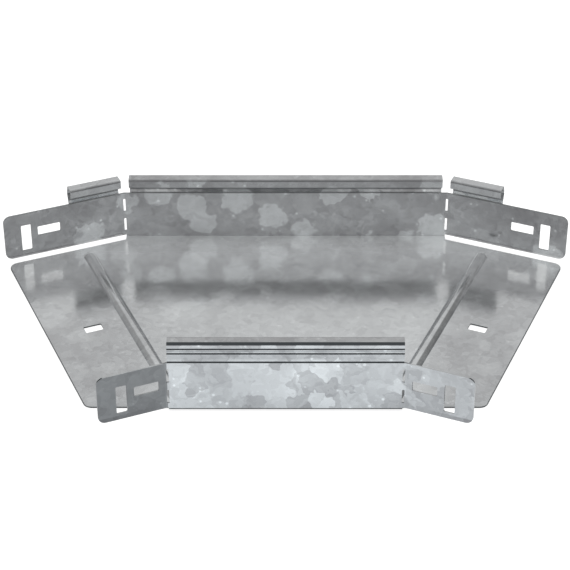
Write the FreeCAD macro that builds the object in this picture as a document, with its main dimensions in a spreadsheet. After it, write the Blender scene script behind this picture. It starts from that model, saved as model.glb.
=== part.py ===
import FreeCAD, Part
import math
import os
import Sketcher

# Cable tray bend: one sheet of galvanised steel, punched, pressed and folded into a
# channel that turns the run of a cable tray by 45 degrees.
# Z is up and the underside lies at Z = 0. The middle of the bend is at X = 0, the longer
# back wall faces +Y and the shorter front wall faces -Y. The right half is built first
# and the finished half is mirrored in the plane X = 0.

# Each row holds an alias, its size in millimetres or degrees, and what it measures.
SIZES = [
    ("tray_width", 200, "outer face of the back wall to outer face of the front wall"),
    ("side_height", 50, "underside to the top of the rolled edge"),
    ("sheet_gauge", 1, "thickness of the sheet"),
    ("run_turn", 45, "turn of the tray from one end to the other"),
    ("back_fold", 111.7, "middle to the fold line of the back wall"),
    ("back_tab", 86.6, "back fold line to the end of its tab and of the wing"),
    ("front_tab", 45.1, "front fold line to the end of its tab"),
    ("tab_corner", 5, "radius of the outer corners of a tab"),
    ("foot_radius", 0.3, "inner radius of the bend between floor and wall"),
    ("tab_lift", 2, "underside to the lower rim of a tab"),
    ("wing_setback", 2, "outer face of the front wall to the front rim of the wing"),
    ("fold_radius", 0.5, "inner radius of the upright fold between wall and tab"),
    ("crease_depth", 0.5, "depth of the groove pressed along the crease"),
    ("edge_reach", 1.9, "how far the barb of the rolled edge stands out of the wall"),
    ("barb_rise", 7.6, "crease where the rolled edge starts to the barb above it"),
    ("bead_drop", 0.7, "height of each small ledge above the barb"),
    ("bead_step", 0.55, "depth of each small ledge above the barb"),
    ("bead_rise", 2.2, "height of the upright strip between the two ledges"),
    ("strip_rise", 3.1, "upper ledge to the top face"),
    ("shoulder_radius", 1.3, "outer radius between the upper strip and the top face"),
    ("edge_depth", 7.6, "outer face of the wall to the inner face of the flange"),
    ("flange_drop", 6.2, "top face to the lower rim of the flange"),
    ("flange_radius", 1.1, "outer radius between the top face and the flange"),
    ("rim_radius", 0.4, "radius of the corners of the flange's lower rim"),
    ("edge_setback", 4.2, "back fold line to the nearest end of a rolled edge"),
    ("tab_edge_end", 40, "back fold line to the far end of a tab's rolled edge"),
    ("wing_gap", 4.5, "inner face of the back tab to the back rim of the wing"),
    ("wing_corner", 6, "radius of the wing's corners"),
    ("slot_width", 7, "width of every bolt slot"),
    ("slot_corner", 0.8, "radius of the corners of a bolt slot"),
    ("upright_slot_length", 20, "length of the upright slot in a tab"),
    ("upright_slot_inset", 15.4, "end of a tab to the middle of its upright slot"),
    ("upright_slot_height", 16.6, "underside to the middle of the upright slot"),
    ("level_slot_length", 16, "length of the level slot in a tab"),
    ("level_slot_inset", 31.5, "end of a tab to the middle of its level slot"),
    ("level_slot_height", 20, "underside to the middle of the level slot"),
    ("wing_slot_length", 12, "length of the slot in a wing"),
    ("wing_slot_inset", 30.6, "end of a wing to the middle of its slot"),
    ("relief_width", 1.5, "width of a relief slot in a fold line"),
    ("relief_corner", 0.3, "radius of the corners of a relief slot"),
    ("relief_foot", 5.4, "underside to the lower relief slot"),
    ("relief_bridge", 5.6, "lower relief slot to the upper one"),
    ("relief_crown", 4.7, "upper relief slot to the crease"),
    ("rib_inset", 54.8, "end of a wing to the middle line of its rib"),
    ("rib_width", 8.6, "width of the rib at the floor"),
    ("rib_height", 2.3, "height of the rib over the floor"),
    ("rib_margin", 7, "rim of the wing to the end of the rib"),
]


class Measure:
    """A size together with the expression that works it out from the sheet."""

    def __init__(self, value, text):
        self.value = value
        self.text = text

    def __add__(self, other):
        other = measured(other)
        return Measure(self.value + other.value, f"({self.text} + {other.text})")

    def __sub__(self, other):
        other = measured(other)
        return Measure(self.value - other.value, f"({self.text} - {other.text})")

    def __mul__(self, other):
        other = measured(other)
        return Measure(self.value * other.value, f"({self.text} * {other.text})")

    def __truediv__(self, other):
        other = measured(other)
        return Measure(self.value / other.value, f"({self.text} / {other.text})")

    def __neg__(self):
        return measured(0) - self


def measured(size):
    """A plain number becomes a measure too, so that both kinds can be mixed."""
    return size if isinstance(size, Measure) else Measure(float(size), str(size))


def sine(angle):
    return Measure(math.sin(math.radians(angle.value)), f"sin({angle.text})")


def cosine(angle):
    return Measure(math.cos(math.radians(angle.value)), f"cos({angle.text})")


def tangent(angle):
    return Measure(math.tan(math.radians(angle.value)), f"tan({angle.text})")


def root(area):
    return Measure(math.sqrt(area.value), f"sqrt({area.text})")


def make_sheet(doc):
    """The sheet of driving sizes, and the same sizes as measures by name."""
    sheet = doc.addObject("Spreadsheet::Sheet", "Sizes")
    measures = {}
    for row, (alias, size, meaning) in enumerate(SIZES, start=1):
        sheet.set(f"A{row}", meaning)
        sheet.set(f"B{row}", str(size))
        sheet.setAlias(f"B{row}", alias)
        measures[alias] = Measure(float(size), f"Sizes.{alias}")
    doc.recompute()
    return measures


doc = FreeCAD.newDocument("cable_tray_bend")
size = make_sheet(doc)

gauge = size["sheet_gauge"]
half_width = size["tray_width"] / 2
fold_turn = size["run_turn"] / 2
turn_cosine = cosine(fold_turn)
turn_sine = sine(fold_turn)
half_turn_slope = tangent(fold_turn / 2)
full_turn = measured(360)

foot_outer = size["foot_radius"] + gauge
fold_outer = size["fold_radius"] + gauge

# The mitre through both fold lines halves the turn, so the front wall is shorter.
front_fold = size["back_fold"] - size["tray_width"] * half_turn_slope
back_fold_run = fold_outer * half_turn_slope
front_fold_run = size["fold_radius"] * half_turn_slope
back_wall_end = size["back_fold"] - back_fold_run
front_wall_end = front_fold - front_fold_run

floor_edge = half_width - foot_outer
wing_rim = gauge + size["wing_gap"]

# The walls and tabs end at the crease, and the rolled edge stands above it.
ledges_rise = size["bead_drop"] + size["bead_rise"] + size["bead_drop"]
crease_height = size["side_height"] - size["strip_rise"] - ledges_rise - size["barb_rise"]


def origin_plane(body, role):
    return next(plane for plane in body.Origin.OriginFeatures if plane.Role == role)


# Axes about which a sketch turns with the run, in a level plane and in an upright one.
LEVEL_TURN = (0, 0, -1)
UPRIGHT_TURN = (0, -1, 0)


def new_sketch(body, name, role, place=(0, 0, 0), turn_axis=None):
    """A sketch on one of the body's own planes, moved by place and, where an axis is
    given, turned about it by the angle of one fold."""
    sketch = body.newObject("Sketcher::SketchObject", name)
    sketch.AttachmentSupport = [(origin_plane(body, role), "")]
    sketch.MapMode = "FlatFace"
    place = [measured(step) for step in place]
    base = FreeCAD.Vector(*[step.value for step in place])
    if turn_axis is None:
        sketch.AttachmentOffset = FreeCAD.Placement(base, FreeCAD.Rotation())
    else:
        turn = FreeCAD.Rotation(FreeCAD.Vector(turn_axis), fold_turn.value)
        sketch.AttachmentOffset = FreeCAD.Placement(base, turn)
        sketch.setExpression(".AttachmentOffset.Rotation.Angle", fold_turn.text)
    for letter, step in zip("xyz", place):
        sketch.setExpression(f".AttachmentOffset.Base.{letter}", step.text)
    return sketch


def bind(sketch, constraint, measure):
    """Add a constraint with a size and tie that size to the sheet."""
    index = sketch.addConstraint(constraint)
    sketch.setExpression(f"Constraints[{index}]", measure.text)


def pin(sketch, geometry, end, corner):
    """Hold one point of a sketch at its two ordinates."""
    across, up = corner
    bind(sketch, Sketcher.Constraint("DistanceX", -1, 1, geometry, end, across.value), across)
    bind(sketch, Sketcher.Constraint("DistanceY", -1, 1, geometry, end, up.value), up)


def toward(start, end, distance):
    """The point at a distance from start on the way to end."""
    return start + (end - start).normalize() * distance


def draw_outline(sketch, corners):
    """Draw a closed outline. Each corner is (across, up) or (across, up, radius), and a
    corner with a radius is rounded by an arc tangent to both of its sides."""
    corners = [[measured(item) for item in corner] for corner in corners]
    tips = [FreeCAD.Vector(corner[0].value, corner[1].value, 0) for corner in corners]
    count = len(corners)
    starts, ends, arcs = [], [], {}
    for index, corner in enumerate(corners):
        tip, before, after = tips[index], tips[index - 1], tips[(index + 1) % count]
        if len(corner) == 2:
            starts.append(tip)
            ends.append(tip)
            continue
        radius = corner[2].value
        opening = (before - tip).getAngle(after - tip)
        tangent_length = radius / math.tan(opening / 2)
        arrive, leave = toward(tip, before, tangent_length), toward(tip, after, tangent_length)
        middle = (arrive + leave) / 2
        centre = toward(tip, middle, radius / math.sin(opening / 2))
        bulge = toward(centre, tip, radius)
        arcs[index] = Part.Arc(arrive, bulge, leave)
        starts.append(leave)
        ends.append(arrive)
    lines = []
    for index in range(count):
        side = Part.LineSegment(starts[index], ends[(index + 1) % count])
        lines.append(sketch.addGeometry(side))
    for index, corner in enumerate(corners):
        arriving, leaving = lines[index - 1], lines[index]
        if index not in arcs:
            sketch.addConstraint(Sketcher.Constraint("Coincident", arriving, 2, leaving, 1))
            pin(sketch, leaving, 1, corner)
            continue
        point = sketch.addGeometry(Part.Point(tips[index]), True)
        pin(sketch, point, 1, corner[:2])
        sketch.addConstraint(Sketcher.Constraint("PointOnObject", point, 1, arriving))
        sketch.addConstraint(Sketcher.Constraint("PointOnObject", point, 1, leaving))
        arc = sketch.addGeometry(arcs[index])
        arc_start = sketch.getPoint(arc, 1)
        to_end = arc_start.distanceToPoint(ends[index])
        to_start = arc_start.distanceToPoint(starts[index])
        first, last = (1, 2) if to_end < to_start else (2, 1)
        sketch.addConstraint(Sketcher.Constraint("Tangent", arriving, 2, arc, first))
        sketch.addConstraint(Sketcher.Constraint("Tangent", arc, last, leaving, 1))
        bind(sketch, Sketcher.Constraint("Radius", arc, corner[2].value), corner[2])


def pad(body, sketch, length, name, backwards=False):
    feature = body.newObject("PartDesign::Pad", name)
    feature.Profile = sketch
    feature.Reversed = backwards
    feature.setExpression("Length", length.text)
    return feature


def pocket(body, sketch, depth, name, backwards=False):
    feature = body.newObject("PartDesign::Pocket", name)
    feature.Profile = sketch
    feature.Reversed = backwards
    feature.setExpression("Length", depth.text)
    return feature


def turn_section(body, sketch, angle, name, kind="PartDesign::Revolution", backwards=False):
    """Turn a section about the upright axis through its sketch's origin."""
    feature = body.newObject(kind, name)
    feature.Profile = sketch
    feature.ReferenceAxis = (sketch, ["V_Axis"])
    feature.Reversed = backwards
    feature.setExpression("Angle", angle.text)
    return feature


def box_corners(left, right, low, high, radius=None):
    """The four corners of a rectangle, all rounded where a radius is given."""
    rounding = () if radius is None else (radius,)
    return [(left, low) + rounding, (right, low) + rounding,
            (right, high) + rounding, (left, high) + rounding]


def on_run(along, across):
    """A point in plan, from a distance along the turned run and one across it, both
    counted from the fold line in the outer face of the back wall."""
    x = size["back_fold"] + along * turn_cosine - across * turn_sine
    y = half_width - along * turn_sine - across * turn_cosine
    return x, y


def add_floor(body):
    """The floor of the channel and the wing beyond its fold lines. The wing's back rim
    stands clear of the tab, and its outer end is square to the turned run."""
    wing_front = size["wing_setback"] - half_width
    rim_to_line = half_width - wing_front
    wing_front_x = size["back_fold"] + (size["back_tab"] - rim_to_line * turn_sine) / turn_cosine
    wing_back = on_run(size["back_tab"], wing_rim)
    step_y = half_width - (wing_rim - back_fold_run * turn_sine) / turn_cosine
    sketch = new_sketch(body, "floor_outline", "XY_Plane")
    draw_outline(sketch, [
        (0, -floor_edge),
        (front_wall_end, -floor_edge),
        (front_wall_end, wing_front),
        (wing_front_x, wing_front, size["wing_corner"]),
        (*wing_back, size["wing_corner"]),
        (back_wall_end, step_y),
        (back_wall_end, floor_edge),
        (0, floor_edge),
    ])
    pad(body, sketch, gauge, "floor_plate")


def add_wall(body, name, outward, length):
    """One side wall up to its crease, with the bend that joins it to the floor.
    Outward is +1 for the back wall and -1 for the front wall."""
    inner_face = half_width - gauge
    seam = floor_edge - gauge
    sketch = new_sketch(body, f"{name}_section", "YZ_Plane")
    draw_outline(sketch, [
        (seam * outward, 0),
        (half_width * outward, 0, foot_outer),
        (half_width * outward, crease_height),
        (inner_face * outward, crease_height),
        (inner_face * outward, gauge, size["foot_radius"]),
        (seam * outward, gauge),
    ])
    pad(body, sketch, length, name)


def edge_corners(outward, face):
    """Section of the rolled edge. Above the groove at the crease the sheet leans out to a
    barb, steps back in over two small ledges, turns over a shoulder and ends in a flange
    that hangs inside the channel. The inner line of the section runs one gauge inside
    the outer."""
    groove_middle = crease_height + size["crease_depth"]
    groove_top = groove_middle + size["crease_depth"]
    barb = crease_height + size["barb_rise"]
    first_ledge = barb + size["bead_drop"]
    second_ledge = first_ledge + size["bead_rise"]
    upper_strip = second_ledge + size["bead_drop"]
    strip = size["edge_reach"] - size["bead_step"]
    top_strip = strip - size["bead_step"]
    top = size["side_height"]
    lean = top_strip * gauge / (top - upper_strip)
    rim = top - size["flange_drop"]
    flange = -size["edge_depth"]
    outer = [
        (0, crease_height),
        (-size["crease_depth"], groove_middle),
        (0, groove_top),
        (size["edge_reach"], barb),
        (strip, first_ledge),
        (strip, second_ledge),
        (top_strip, upper_strip),
        (0, top, size["shoulder_radius"]),
        (flange, top, size["flange_radius"]),
        (flange, rim, size["rim_radius"]),
    ]
    inner = [
        (flange + gauge, rim, size["rim_radius"]),
        (flange + gauge, top - gauge, size["flange_radius"] - gauge),
        (lean - gauge, top - gauge, size["shoulder_radius"] - gauge),
        (top_strip - gauge, upper_strip - size["bead_drop"] / 2),
        (strip - gauge, second_ledge - size["bead_drop"] / 2),
        (strip - gauge, first_ledge),
        (size["edge_reach"] - gauge, barb),
        (-gauge, groove_top),
        (-gauge - size["crease_depth"], groove_middle),
        (-gauge, crease_height),
    ]
    corners = []
    for depth, *rest in outer + inner:
        corners.append((face + measured(depth) * outward, *rest))
    return corners


def add_edge(body, name, outward, length):
    """The rolled edge along a side wall, from the middle of the bend outwards."""
    sketch = new_sketch(body, f"{name}_section", "YZ_Plane")
    draw_outline(sketch, edge_corners(outward, half_width * outward))
    pad(body, sketch, length, name)


def add_tab_edge(body):
    """The rolled edge on the near half of the back tab, square to the turned run."""
    start_x, start_y = on_run(size["edge_setback"], measured(0))
    sketch = new_sketch(body, "back_tab_edge_section", "YZ_Plane", (start_y, 0, start_x),
                        UPRIGHT_TURN)
    draw_outline(sketch, edge_corners(1, measured(0)))
    pad(body, sketch, size["tab_edge_end"] - size["edge_setback"], "back_tab_edge")


def add_fold(body, name, axis_y, start_x):
    """The upright fold between a wall and its tab, bent about an axis on the side to
    which the tab turns."""
    sketch = new_sketch(body, f"{name}_section", "YZ_Plane", (axis_y, 0, start_x))
    draw_outline(sketch, box_corners(size["fold_radius"], fold_outer,
                                     size["tab_lift"], crease_height))
    turn_section(body, sketch, fold_turn, name, backwards=True)


def add_tab(body, name, fold_x, outer_face, start, length, inwards):
    """A tab with its upright slot, which is nearer the end, and its level slot."""
    sketch = new_sketch(body, f"{name}_outline", "XZ_Plane", (fold_x, 0, -outer_face),
                        UPRIGHT_TURN)
    draw_outline(sketch, [
        (start, size["tab_lift"]),
        (length, size["tab_lift"], size["tab_corner"]),
        (length, crease_height, size["tab_corner"]),
        (start, crease_height),
    ])
    half_slot = size["slot_width"] / 2
    upright = length - size["upright_slot_inset"]
    upright_half = size["upright_slot_length"] / 2
    draw_outline(sketch, box_corners(
        upright - half_slot, upright + half_slot,
        size["upright_slot_height"] - upright_half, size["upright_slot_height"] + upright_half,
        size["slot_corner"]))
    level = length - size["level_slot_inset"]
    level_half = size["level_slot_length"] / 2
    draw_outline(sketch, box_corners(
        level - level_half, level + level_half,
        size["level_slot_height"] - half_slot, size["level_slot_height"] + half_slot,
        size["slot_corner"]))
    pad(body, sketch, gauge, name, backwards=not inwards)


def punch_fold(body, name, fold_x, outer_face):
    """Two slots, one over the other, that weaken the fold line so that it bends there.
    The punch starts just clear of the outer face and goes right through the sheet."""
    sketch = new_sketch(body, f"{name}_outline", "XZ_Plane", (fold_x, 0, -outer_face - fold_outer))
    half_relief = size["relief_width"] / 2
    bridges = size["relief_foot"] + size["relief_bridge"] + size["relief_crown"]
    relief_length = (crease_height - bridges) / 2
    for low in (size["relief_foot"], crease_height - size["relief_crown"] - relief_length):
        draw_outline(sketch, box_corners(-half_relief, half_relief, low, low + relief_length,
                                         size["relief_corner"]))
    pocket(body, sketch, fold_outer * 2, name, backwards=True)


def punch_wing(body):
    """The bolt slot on the middle line of the turned run, lengthwise."""
    sketch = new_sketch(body, "wing_slot_outline", "XY_Plane", (size["back_fold"], half_width, 0),
                        LEVEL_TURN)
    middle = size["back_tab"] - size["wing_slot_inset"]
    half_length = size["wing_slot_length"] / 2
    half_slot = size["slot_width"] / 2
    draw_outline(sketch, box_corners(middle - half_length, middle + half_length,
                                     -half_width - half_slot, -half_width + half_slot,
                                     size["slot_corner"]))
    pocket(body, sketch, gauge, "wing_slot", backwards=True)


def draw_segment(sketch, half_chord, base, crest, radius, whole):
    """A segment of a circle that stands on its chord, or only its right half."""
    centre = FreeCAD.Vector(0, crest.value - radius.value, 0)
    middle = measured(0)
    left = (-half_chord, base) if whole else (middle, crest)
    right = (half_chord, base)
    points = [left, right] if whole else [left, (middle, base), right]
    places = [FreeCAD.Vector(across.value, up.value, 0) for across, up in points]
    top = toward(centre, (places[0] + places[-1]) / 2, radius.value)
    arc = sketch.addGeometry(Part.Arc(places[-1], top, places[0]))
    lines = [sketch.addGeometry(Part.LineSegment(start, end))
             for start, end in zip(places, places[1:])]
    for line, point in zip(lines, points):
        pin(sketch, line, 1, point)
    pin(sketch, lines[-1], 2, right)
    for before, after in zip(lines, lines[1:]):
        sketch.addConstraint(Sketcher.Constraint("Coincident", before, 2, after, 1))
    sketch.addConstraint(Sketcher.Constraint("Coincident", lines[0], 1, arc, 2))
    sketch.addConstraint(Sketcher.Constraint("Coincident", lines[-1], 2, arc, 1))
    bind(sketch, Sketcher.Constraint("Radius", arc, radius.value), radius)


def press_rib(body):
    """The pressed rib, hollow from below. It is a part of a tube along the joint line
    with a part of a ball of the same radius at each end."""
    half_chord = size["rib_width"] / 2
    height = size["rib_height"]
    outer_radius = (half_chord * half_chord + height * height) / (height * 2)
    inner_radius = outer_radius - gauge
    centre_height = gauge + height - outer_radius
    inner_chord = root(inner_radius * inner_radius - centre_height * centre_height)
    along = size["back_tab"] - size["rib_inset"]
    first = wing_rim + size["rib_margin"] + half_chord
    front_rim = (size["tray_width"] - size["wing_setback"] - along * turn_sine) / turn_cosine
    last = front_rim - size["rib_margin"] - half_chord
    layers = [
        ("rib", gauge, gauge + height, half_chord, outer_radius, True),
        ("rib_hollow", measured(0), height, inner_chord, inner_radius, False),
    ]
    for layer, base, crest, chord, radius, adds in layers:
        for part, across, whole in (("run", first, True), ("back_end", first, False),
                                    ("front_end", last, False)):
            name = f"{layer}_{part}"
            x, y = on_run(along, across)
            sketch = new_sketch(body, f"{name}_section", "XZ_Plane", (x, 0, -y), UPRIGHT_TURN)
            draw_segment(sketch, chord, base, crest, radius, whole)
            if not whole:
                kind = "PartDesign::Revolution" if adds else "PartDesign::Groove"
                turn_section(body, sketch, full_turn, name, kind)
            elif adds:
                pad(body, sketch, last - first, name)
            else:
                pocket(body, sketch, last - first, name, backwards=True)


def mirror_body(body):
    """Repeat the finished right half on the left. The mirror reads the half, so the half
    is worked out first."""
    doc.recompute()
    mirrored = body.newObject("PartDesign::Mirrored", "both_halves")
    mirrored.TransformMode = "Whole shape"
    mirrored.MirrorPlane = (origin_plane(body, "YZ_Plane"), [""])
    body.Tip = mirrored


def build_bend(doc):
    """The whole bend as one body, in the order in which the sheet gains its forms."""
    body = doc.addObject("PartDesign::Body", "tray_bend")
    body.Label = "tray_bend"
    body.Placement = FreeCAD.Placement()
    add_floor(body)
    add_wall(body, "back_wall", 1, back_wall_end)
    add_wall(body, "front_wall", -1, front_wall_end)
    add_edge(body, "back_edge", 1, size["back_fold"] - size["edge_setback"])
    add_edge(body, "front_edge", -1, front_wall_end)
    add_fold(body, "back_fold", half_width - fold_outer, back_wall_end)
    add_fold(body, "front_fold", -half_width - size["fold_radius"], front_wall_end)
    add_tab(body, "back_tab", size["back_fold"], half_width, back_fold_run,
            size["back_tab"], inwards=True)
    add_tab(body, "front_tab", front_fold, -half_width, front_fold_run,
            size["front_tab"], inwards=False)
    add_tab_edge(body)
    punch_fold(body, "back_relief", size["back_fold"], half_width)
    punch_fold(body, "front_relief", front_fold, -half_width)
    punch_wing(body)
    press_rib(body)
    mirror_body(body)
    return body


def check_document(doc, bodies):
    """Stop before anything is written if a feature failed or a shape is unsound."""
    for item in doc.Objects:
        faults = {"Invalid", "Error"} & set(item.State)
        if faults:
            raise RuntimeError(f"{item.Name} failed: {sorted(faults)}")
    for body in bodies:
        shape = body.Shape
        if shape.isNull() or not shape.isValid() or len(shape.Solids) != 1:
            raise RuntimeError(f"{body.Label} is not one sound solid")


bend = build_bend(doc)
doc.recompute()
check_document(doc, [bend])
os.makedirs("parts", exist_ok=True)
bend.Shape.exportStep(f"parts/{bend.Label}.step")
box = bend.Shape.BoundBox
print(f"{bend.Label}: {box.XLength:.1f} x {box.YLength:.1f} x {box.ZLength:.1f} mm, "
      f"{bend.Shape.Volume:.0f} mm3")
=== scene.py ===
import math

import bpy
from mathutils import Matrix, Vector

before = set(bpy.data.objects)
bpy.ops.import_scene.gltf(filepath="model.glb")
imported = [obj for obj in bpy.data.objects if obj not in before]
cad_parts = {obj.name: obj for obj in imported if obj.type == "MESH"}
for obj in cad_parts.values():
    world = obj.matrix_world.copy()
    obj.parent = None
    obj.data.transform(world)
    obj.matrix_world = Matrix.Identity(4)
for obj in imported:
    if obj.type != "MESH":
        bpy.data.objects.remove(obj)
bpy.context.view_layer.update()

# The sheet: the whole bend is one blank of steel, punched, pressed and folded. It was dipped
# in molten zinc before that, so every face carries the same skin of zinc crystals.

MILLIMETRE = 0.001


def linear(code):
    """A colour written as sRGB hex, turned to linear light with full alpha. Each channel
    below 0.04045 is divided by 12.92, and any other is raised by the sRGB curve."""
    channels = [int(code[start:start + 2], 16) / 255 for start in (1, 3, 5)]
    light = [c / 12.92 if c <= 0.04045 else ((c + 0.055) / 1.055) ** 2.4 for c in channels]
    return (*light, 1.0)


def add_node(tree, kind, inputs=None, **settings):
    """Add a node to a tree. An input that is given as a socket gets linked, any other is
    set, and the settings are the node's own properties."""
    node = tree.nodes.new(kind)
    for name, value in settings.items():
        setattr(node, name, value)
    for name, value in (inputs or {}).items():
        if isinstance(value, bpy.types.NodeSocket):
            tree.links.new(value, node.inputs[name])
        else:
            node.inputs[name].default_value = value
    return node


def galvanised_steel():
    """Hot-dip galvanised steel. Zinc crystals grow outwards from many seeds until they meet, so
    the eye sees a patchwork: each crystal lies at its own tilt and takes the light in its own
    tone, and the largest show as pale lobed flowers. Sheared rims are bare steel, and bends are
    dull. Painted shade lies along the folds and behind the flanges, and painted light and shade
    lie on some faces. X is 0 in the middle of the bend, Y midway between its walls, and Z on its
    underside."""
    material = bpy.data.materials.new("hot_dip_galvanised_steel")
    material.use_nodes = True
    tree = material.node_tree
    tree.nodes.clear()

    # Flowers, crystals and frost are cells of three sizes. Noise as wide as a lobe shifts the
    # places where they are looked up, which makes their borders wander. The colour of a cell
    # or of noise lies around middle grey, and a direction is left when that is taken off.
    lobe_width = 6 * MILLIMETRE
    lobe_depth = 9 * MILLIMETRE
    flower_width = 24 * MILLIMETRE
    flower_shift = (9 * MILLIMETRE, 4 * MILLIMETRE, 10 * MILLIMETRE)
    crystal_width = 12 * MILLIMETRE
    frost_width = 4 * MILLIMETRE
    fleck_width = 4 * MILLIMETRE
    cloud_width = 60 * MILLIMETRE
    middle_grey = (0.5, 0.5, 0.5)
    place = add_node(tree, "ShaderNodeTexCoord").outputs["Object"]
    lobes = add_node(tree, "ShaderNodeTexNoise",
                     {"Vector": place, "Scale": 1 / lobe_width, "Detail": 1.0})
    offset = add_node(tree, "ShaderNodeVectorMath", {0: lobes.outputs["Color"], 1: middle_grey},
                      operation="SUBTRACT").outputs[0]
    lobed = add_node(tree, "ShaderNodeVectorMath",
                     {0: offset, 1: (lobe_depth, lobe_depth, lobe_depth), 2: place},
                     operation="MULTIPLY_ADD").outputs[0]
    shifted = add_node(tree, "ShaderNodeVectorMath", {0: lobed, 1: flower_shift},
                       operation="ADD").outputs[0]
    cells, chance = {}, {}
    for name, where, width, metric in (("flower", shifted, flower_width, "EUCLIDEAN"),
                                       ("crystal", lobed, crystal_width, "EUCLIDEAN"),
                                       ("frost", lobed, frost_width, "CHEBYCHEV"),
                                       ("fleck", place, fleck_width, "EUCLIDEAN")):
        cells[name] = add_node(tree, "ShaderNodeTexVoronoi",
                               {"Vector": where, "Scale": 1 / width}, distance=metric).outputs
        drawn = add_node(tree, "ShaderNodeSeparateColor", {"Color": cells[name]["Color"]})
        chance[name] = drawn.outputs["Red"]
    cloud = add_node(tree, "ShaderNodeTexNoise",
                     {"Vector": place, "Scale": 1 / cloud_width, "Detail": 2.0}).outputs["Fac"]

    # Where a point lies, and which way it faces: slope is 1 on level faces and 0 on upright
    # ones, and endward is 1 on faces that look along the X axis.
    spot = add_node(tree, "ShaderNodeSeparateXYZ", {"Vector": place}).outputs
    x, y, z = spot["X"], spot["Y"], spot["Z"]
    normal = add_node(tree, "ShaderNodeNewGeometry").outputs["Normal"]
    facing = add_node(tree, "ShaderNodeSeparateXYZ", {"Vector": normal}).outputs
    upward = facing["Z"]
    off_middle, slope, endward = (
        add_node(tree, "ShaderNodeMath", {0: signed}, operation="ABSOLUTE").outputs[0]
        for signed in (x, upward, facing["X"]))

    def share(*parts):
        """The product of its parts: how far a point belongs to a mark. A part is a number, a
        share that is known already, or a reading with the value where it counts for nothing
        and the value where it counts in full."""
        total = 1.0
        for part in parts:
            if isinstance(part, tuple):
                reading, nothing, full = part
                inputs = {"Value": reading, "From Min": nothing, "From Max": full}
                part = add_node(tree, "ShaderNodeMapRange", inputs).outputs["Result"]
            total = add_node(tree, "ShaderNodeMath", {0: total, 1: part},
                             operation="MULTIPLY").outputs[0]
        return total

    beyond = 1000

    def within(reading, low=-beyond, high=beyond):
        """1 where a reading lies between two limits in millimetres, and 0 elsewhere. A limit
        that isn't given lies beyond the sheet."""
        above = add_node(tree, "ShaderNodeMath", {0: reading, 1: low * MILLIMETRE},
                         operation="GREATER_THAN").outputs[0]
        below = add_node(tree, "ShaderNodeMath", {0: reading, 1: high * MILLIMETRE},
                         operation="LESS_THAN").outputs[0]
        return share(above, below)

    def layered(ground, *layers):
        """The ground value with every layer added to it, each an amount times a mark."""
        for amount, mark in layers:
            ground = add_node(tree, "ShaderNodeMath", {0: mark, 1: amount, 2: ground},
                              operation="MULTIPLY_ADD").outputs[0]
        return ground

    def strongest(first, *others):
        """At every point, the highest of the marks."""
        for other in others:
            first = add_node(tree, "ShaderNodeMath", {0: first, 1: other},
                             operation="MAXIMUM").outputs[0]
        return first

    # Sizes of the bend in millimetres, and the parts that carry marks of their own. The
    # parting line runs between the front wall with its tabs and the back wall with its own.
    gauge = 1
    rib_top = 3.3
    crease_height = 35.7
    flange_rim = 43.8
    top = 50
    front_face = -100
    parting = 20
    standing = share((slope, 0.8, 0.5))
    back_side, front_side = within(y, low=parting), within(y, high=parting)
    floor_top = within(z, high=gauge + 0.1)
    front_tabs = within(y, high=front_face - 0.6)
    tab_edges = share((off_middle, 110 * MILLIMETRE, 112 * MILLIMETRE),
                      within(z, low=crease_height + 0.8))
    back_walls = share(standing, back_side)
    front_walls = share(standing, front_side)

    # Flowers have ragged rims and are fewer than the crystals, and they are palest on the back
    # wall. Flecks are as small as the frost, and only a few of them show.
    reach = layered(cells["flower"]["Distance"], (0.07, chance["frost"]))
    blooming = add_node(tree, "ShaderNodeMath", {0: chance["flower"], 1: 0.60},
                        operation="GREATER_THAN").outputs[0]
    petals = share((reach, 0.52, 0.46), blooming, layered(0.35, (0.65, back_walls)))
    glinting = add_node(tree, "ShaderNodeMath", {0: chance["fleck"], 1: 0.90},
                        operation="GREATER_THAN").outputs[0]
    flecks = share((cells["fleck"]["Distance"], 0.30, 0.18), glinting)

    # Tone runs from the greyest zinc at 0 to the palest at 1. The crystals differ most on the
    # front wall, and less so on its tabs. The last layers are painted light and shade: the floor
    # near the back wall painted paler, as painted reflected light, the tops of the rolled edges
    # painted darker, the rolled edges of the back tabs painted paler, a pale strip painted under
    # their flanges, where shade falls, and painted highlights on the upright strips above the
    # front barb. The very last layer darkens the wings and the outer floor towards the front.
    patchy = share(front_walls, layered(1.0, (-0.6, front_tabs)))
    tone = layered(
        0.40,
        (-0.40, standing),
        (layered(0.09, (0.33, patchy)), chance["crystal"]),
        (layered(0.15, (-0.01, standing)), chance["frost"]),
        (0.40, cloud),
        (0.32, petals),
        (-0.08, back_walls),
        (layered(0.12, (0.20, standing)), flecks),
        (0.15, share(floor_top, (y, 40 * MILLIMETRE, 75 * MILLIMETRE))),
        (-0.36, within(z, low=top - 1.5)),
        (0.22, tab_edges),
        (0.60, share(tab_edges, (upward, 0.20, 0.24),
                     within(z, crease_height + 1.2, crease_height + 2.8))),
        (0.12, share(patchy, within(z, flange_rim - 0.4, top - 1.5))),
        (-0.24, share((off_middle, 80 * MILLIMETRE, 110 * MILLIMETRE),
                      (y, 70 * MILLIMETRE, -40 * MILLIMETRE), within(z, high=5))))
    zinc = add_node(tree, "ShaderNodeValToRGB", {"Fac": tone})
    greyest, palest = zinc.color_ramp.elements
    greyest.color = linear("#8e8d8f")
    palest.color = linear("#f5f8f9")
    cool = add_node(tree, "ShaderNodeMix",
                    {"Factor": front_walls, "A": zinc.outputs["Color"], "B": linear("#f8fcff")},
                    data_type="RGBA", blend_type="MULTIPLY")
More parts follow.
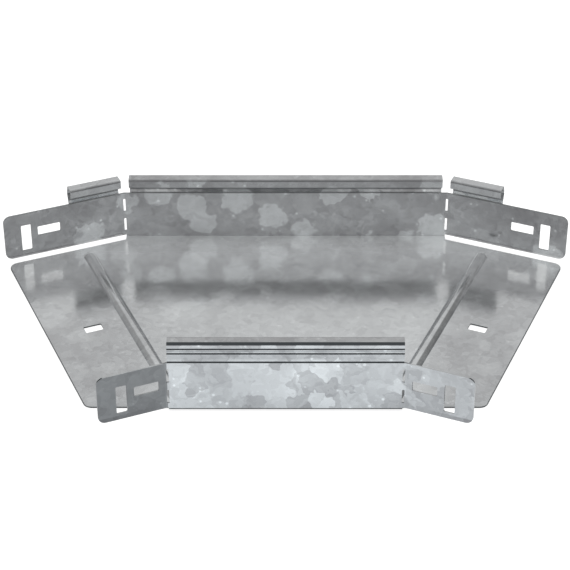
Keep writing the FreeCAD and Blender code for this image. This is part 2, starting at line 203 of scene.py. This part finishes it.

    # Painted shade lines along the folds, which stand in for dark reflections and for the shade
    # in creases and hollows: the rounded faces of the rolled edges, the foot of each wall, where
    # a painted contact shadow meets the floor, the front shoulder, the crease, a line between
    # the two front ledges, and the lower rims of the flanges, with the shade that falls under
    # them. The crease's mark stops short of the front tabs, whose top rims lie at its height.
    rounded = share((slope, 0.35, 0.55), (slope, 0.995, 0.975), within(z, low=20),
                    layered(1.0, (-0.50, back_side)))
    back_foot = share(0.5, (slope, 0.2, 0.4), (slope, 0.98, 0.9),
                      within(z, gauge - 0.05, gauge + 0.4), within(y, 98, 100))
    front_foot = share(within(z, high=gauge + 0.4), within(y, front_face - 1, front_face + 1.6))
    shoulder = share(within(z, low=top - 0.9), within(y, front_face - 1, front_face + 1.7))
    crease = share(layered(0.3, (0.5, front_side)), within(y, low=front_face - 0.12),
                   within(z, crease_height - 0.2, crease_height + 1.2))
    ledge_line = share(0.3, front_side, within(z, 44.9, 45.5))
    flange_line = share(0.4, within(z, flange_rim - 0.2, flange_rim + 0.4))
    # All the painted shade lines along the folds together.
    painted_fold_shade = strongest(rounded, back_foot, front_foot, shoulder, crease, ledge_line, flange_line)

    # Sheared rims, which are bare steel: those of tabs and slots that lie higher than the
    # ribs, those of the floor, and a thin line along the end of each wing.
    fold_turn = math.radians(22.5)
    wing_end = 151.5
    shear_width = 0.3
    upright_rims = share((endward, 0.5, 0.6), within(z, low=rib_top + 0.3))
    level_rims = share((slope, 0.6, 0.7), within(z, rib_top + 0.3, crease_height + 0.2))
    rims = share(strongest(upright_rims, level_rims), layered(0.75, (-0.45, front_tabs)))
    floor_rims = share((slope, 0.85, 0.75), within(z, high=gauge - 0.05),
                       within(y, front_face - 1, 50))
    along_run = layered(0.0, (math.cos(fold_turn), off_middle), (-math.sin(fold_turn), y))
    wing_rims = share(floor_top, within(along_run, low=wing_end - shear_width))

    # Painted shade: the slanting faces and undersides behind a flange, where shade falls under
    # it, and the left front tab, which is far darker than the right one in the photo, as a
    # painted dark reflection.
    slanting = share((upward, 0.20, 0.24), (slope, 0.32, 0.28),
                     within(z, crease_height + 2.8, flange_rim + 0.2))
    looking_down = share((upward, -0.5, -0.8), within(z, flange_rim + 0.2, top - 0.8))
    painted_flange_shade = share(0.56, strongest(slanting, looking_down))
    left_tab_painted_shade = share(0.57, within(x, high=0), within(y, high=front_face - 0.12),
                           within(z, 0, crease_height - 0.1))
    # The bare steel of the rims and all the painted shade, which the colour below turns dark
    # grey.
    bare_steel_and_painted_shade = strongest(painted_fold_shade, painted_flange_shade, rims, floor_rims, wing_rims, left_tab_painted_shade)
    colour = add_node(tree, "ShaderNodeMix",
                      {"Factor": bare_steel_and_painted_shade, "A": cool.outputs["Result"], "B": linear("#363b3e")},
                      data_type="RGBA")

    # Flowers are frosted, and the bare steel and the painted shade are rougher and less of a
    # mirror. The floor is less of a mirror too near the back wall, where the zinc has a thin
    # white bloom.
    roughness = layered(0.12, (0.10, petals), (0.04, chance["crystal"]), (0.30, bare_steel_and_painted_shade))
    white_bloom = share(floor_top, (y, 60 * MILLIMETRE, 95 * MILLIMETRE))
    metallic = layered(0.85, (-0.5, bare_steel_and_painted_shade), (-0.25, white_bloom))

    # Each crystal tilts the mirror a little, most of all on upright faces, and the floor's
    # mirror leans by a hair to the back. The grit is drawn coarser than it is, or it wouldn't
    # show.
    grit_width = 0.7 * MILLIMETRE
    grit_height = 0.1 * MILLIMETRE
    lean = add_node(tree, "ShaderNodeVectorMath", {0: cells["crystal"]["Color"], 1: middle_grey},
                    operation="SUBTRACT").outputs[0]
    tilted = add_node(tree, "ShaderNodeVectorMath",
                      {0: lean, 1: layered(0.012, (0.04, standing)), 2: normal},
                      operation="MULTIPLY_ADD").outputs[0]
    floor_lean = share(0.02, (upward, 0.97, 0.99), within(z, 0.5, gauge + 0.1))
    backward = add_node(tree, "ShaderNodeCombineXYZ", {"Y": floor_lean}).outputs["Vector"]
    leaning = add_node(tree, "ShaderNodeVectorMath", {0: tilted, 1: backward},
                       operation="ADD").outputs[0]
    facet = add_node(tree, "ShaderNodeVectorMath", {0: leaning},
                     operation="NORMALIZE").outputs[0]
    grit = add_node(tree, "ShaderNodeTexNoise",
                    {"Vector": place, "Scale": 1 / grit_width}).outputs["Fac"]
    skin = add_node(tree, "ShaderNodeBump", {"Height": grit, "Normal": facet, "Strength": 0.05,
                                             "Distance": grit_height}).outputs["Normal"]

    shader = add_node(tree, "ShaderNodeBsdfPrincipled",
                      {"Base Color": colour.outputs["Result"], "Metallic": metallic,
                       "Roughness": roughness, "Normal": skin})
    add_node(tree, "ShaderNodeOutputMaterial", {"Surface": shader.outputs["BSDF"]})
    return material


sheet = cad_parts["tray_bend"]
sheet.data.materials.clear()
sheet.data.materials.append(galvanised_steel())

# The ground: a plain white studio floor, wide enough to fill the view. It is no part of the
# bend, and it shows a faint shadow where the sheet lies on it.

FLOOR_REACH = 4.0
FLOOR_DROP = 0.0005


def white_ground():
    """White paint that keeps a faint shadow: most of the white is its own light, seen by the
    eye and in the metal, and the rest is the light that falls on it."""
    seen_by_eye = 0.8
    seen_in_metal = 0.6
    material = bpy.data.materials.new("matt_white_floor_paint")
    material.use_nodes = True
    tree = material.node_tree
    tree.nodes.clear()
    paint = add_node(tree, "ShaderNodeBsdfDiffuse", {"Color": linear("#aaaaaa")})
    path = add_node(tree, "ShaderNodeLightPath")
    mirrored = add_node(tree, "ShaderNodeMath",
                        {0: path.outputs["Is Glossy Ray"], 1: seen_in_metal},
                        operation="MULTIPLY")
    seen = add_node(tree, "ShaderNodeMath", {0: path.outputs["Is Camera Ray"], 1: seen_by_eye,
                                             2: mirrored.outputs[0]}, operation="MULTIPLY_ADD")
    own_light = add_node(tree, "ShaderNodeEmission", {"Color": linear("#ffffff"),
                                                      "Strength": seen.outputs[0]})
    both = add_node(tree, "ShaderNodeAddShader", {0: paint.outputs[0], 1: own_light.outputs[0]})
    add_node(tree, "ShaderNodeOutputMaterial", {"Surface": both.outputs[0]})
    return material


floor_mesh = bpy.data.meshes.new("studio_floor")
corners = [(-FLOOR_REACH, -FLOOR_REACH, 0), (FLOOR_REACH, -FLOOR_REACH, 0),
           (FLOOR_REACH, FLOOR_REACH, 0), (-FLOOR_REACH, FLOOR_REACH, 0)]
floor_mesh.from_pydata(corners, [], [(0, 1, 2, 3)])
floor = bpy.data.objects.new("studio_floor", floor_mesh)
floor_mesh.materials.append(white_ground())
bpy.context.scene.collection.objects.link(floor)
floor.location.z = -FLOOR_DROP

# The light: a pale studio all round, a little dimmer behind the bend, with a dark screen at
# the back left and a darker one at the back right. The slopes of the ribs mirror the screens,
# and two soft boxes light the sheet from overhead and from the front right.


def studio_world():
    """Brightness is worked out from the direction of a ray: that of the wall, times that of
    each screen, which is lowest near the screen's middle. The eye itself sees plain white."""
    world = bpy.data.worlds.new("studio")
    bpy.context.scene.world = world
    world.use_nodes = True
    tree = world.node_tree
    tree.nodes.clear()
    ray = add_node(tree, "ShaderNodeTexCoord").outputs["Generated"]

    def brightness(azimuth, elevation, inner, outer, around, middle):
        """The middle value within the inner angle of a direction, and the value around it
        outside the outer angle, with a smooth change between the two. Azimuth is measured
        from straight behind the bend, and all angles are in degrees."""
        azimuth, elevation = math.radians(azimuth), math.radians(elevation)
        aim = (math.sin(azimuth) * math.cos(elevation), math.cos(azimuth) * math.cos(elevation),
               math.sin(elevation))
        along = add_node(tree, "ShaderNodeVectorMath", {0: ray, 1: aim}, operation="DOT_PRODUCT")
        return add_node(tree, "ShaderNodeMapRange",
                        {"Value": along.outputs["Value"],
                         "From Min": math.cos(math.radians(outer)),
                         "From Max": math.cos(math.radians(inner)),
                         "To Min": around, "To Max": middle},
                        interpolation_type="SMOOTHSTEP").outputs["Result"]

    wall = brightness(0, 30, inner=20, outer=60, around=0.66, middle=0.60)
    left_screen = brightness(-58, 22, inner=24, outer=36, around=1.0, middle=0.5)
    right_screen = brightness(58, 22, inner=24, outer=36, around=1.0, middle=0.2)
    screens = add_node(tree, "ShaderNodeMath", {0: left_screen, 1: right_screen},
                       operation="MULTIPLY")
    glow = add_node(tree, "ShaderNodeMath", {0: wall, 1: screens.outputs[0]},
                    operation="MULTIPLY")
    path = add_node(tree, "ShaderNodeLightPath")
    strength = add_node(tree, "ShaderNodeMix", {0: path.outputs["Is Camera Ray"],
                                                2: glow.outputs[0], 3: 1.0})
    light = add_node(tree, "ShaderNodeBackground", {"Color": linear("#ffffff"),
                                                    "Strength": strength.outputs[0]})
    add_node(tree, "ShaderNodeOutputWorld", {"Surface": light.outputs[0]})


studio_world()


def hang_lamp(name, place, width, watts):
    """A square soft box that faces the middle of the bend. The metal doesn't mirror it."""
    data = bpy.data.lights.new(name, "AREA")
    data.size = width
    data.energy = watts
    lamp = bpy.data.objects.new(name, data)
    lamp.location = place
    lamp.rotation_euler = Vector(place).to_track_quat("Z", "Y").to_euler()
    lamp.visible_glossy = False
    bpy.context.scene.collection.objects.link(lamp)


hang_lamp("overhead_soft_box", place=(0.0, 0.5, 1.8), width=2.0, watts=26.0)
hang_lamp("right_soft_box", place=(1.2, -1.6, 0.2), width=0.5, watts=8.0)

# The camera: it looks down on the bend from in front through a long lens, and the pressed
# floor, the outside of the front wall and the inside of the back wall all show.

PHOTO_SIDE = 570
FOCAL_PIXELS = 1936.9
OPTICAL_AXIS_X = 285.64
SENSOR_WIDTH = 36.0
LOOKING_DOWN = 33.77
CAMERA_PLACE = (0, -1.048, 0.7264)
FARTHEST_SEEN = 20.0

camera_data = bpy.data.cameras.new("camera")
camera_data.sensor_width = SENSOR_WIDTH
camera_data.lens = SENSOR_WIDTH * FOCAL_PIXELS / PHOTO_SIDE
camera_data.shift_x = 0.5 - OPTICAL_AXIS_X / PHOTO_SIDE
camera_data.clip_end = FARTHEST_SEEN
camera = bpy.data.objects.new("camera", camera_data)
camera.location = CAMERA_PLACE
camera.rotation_euler = (math.radians(90 - LOOKING_DOWN), 0, 0)
bpy.context.scene.collection.objects.link(camera)
bpy.context.scene.camera = camera
bpy.context.scene.view_settings.view_transform = "Standard"
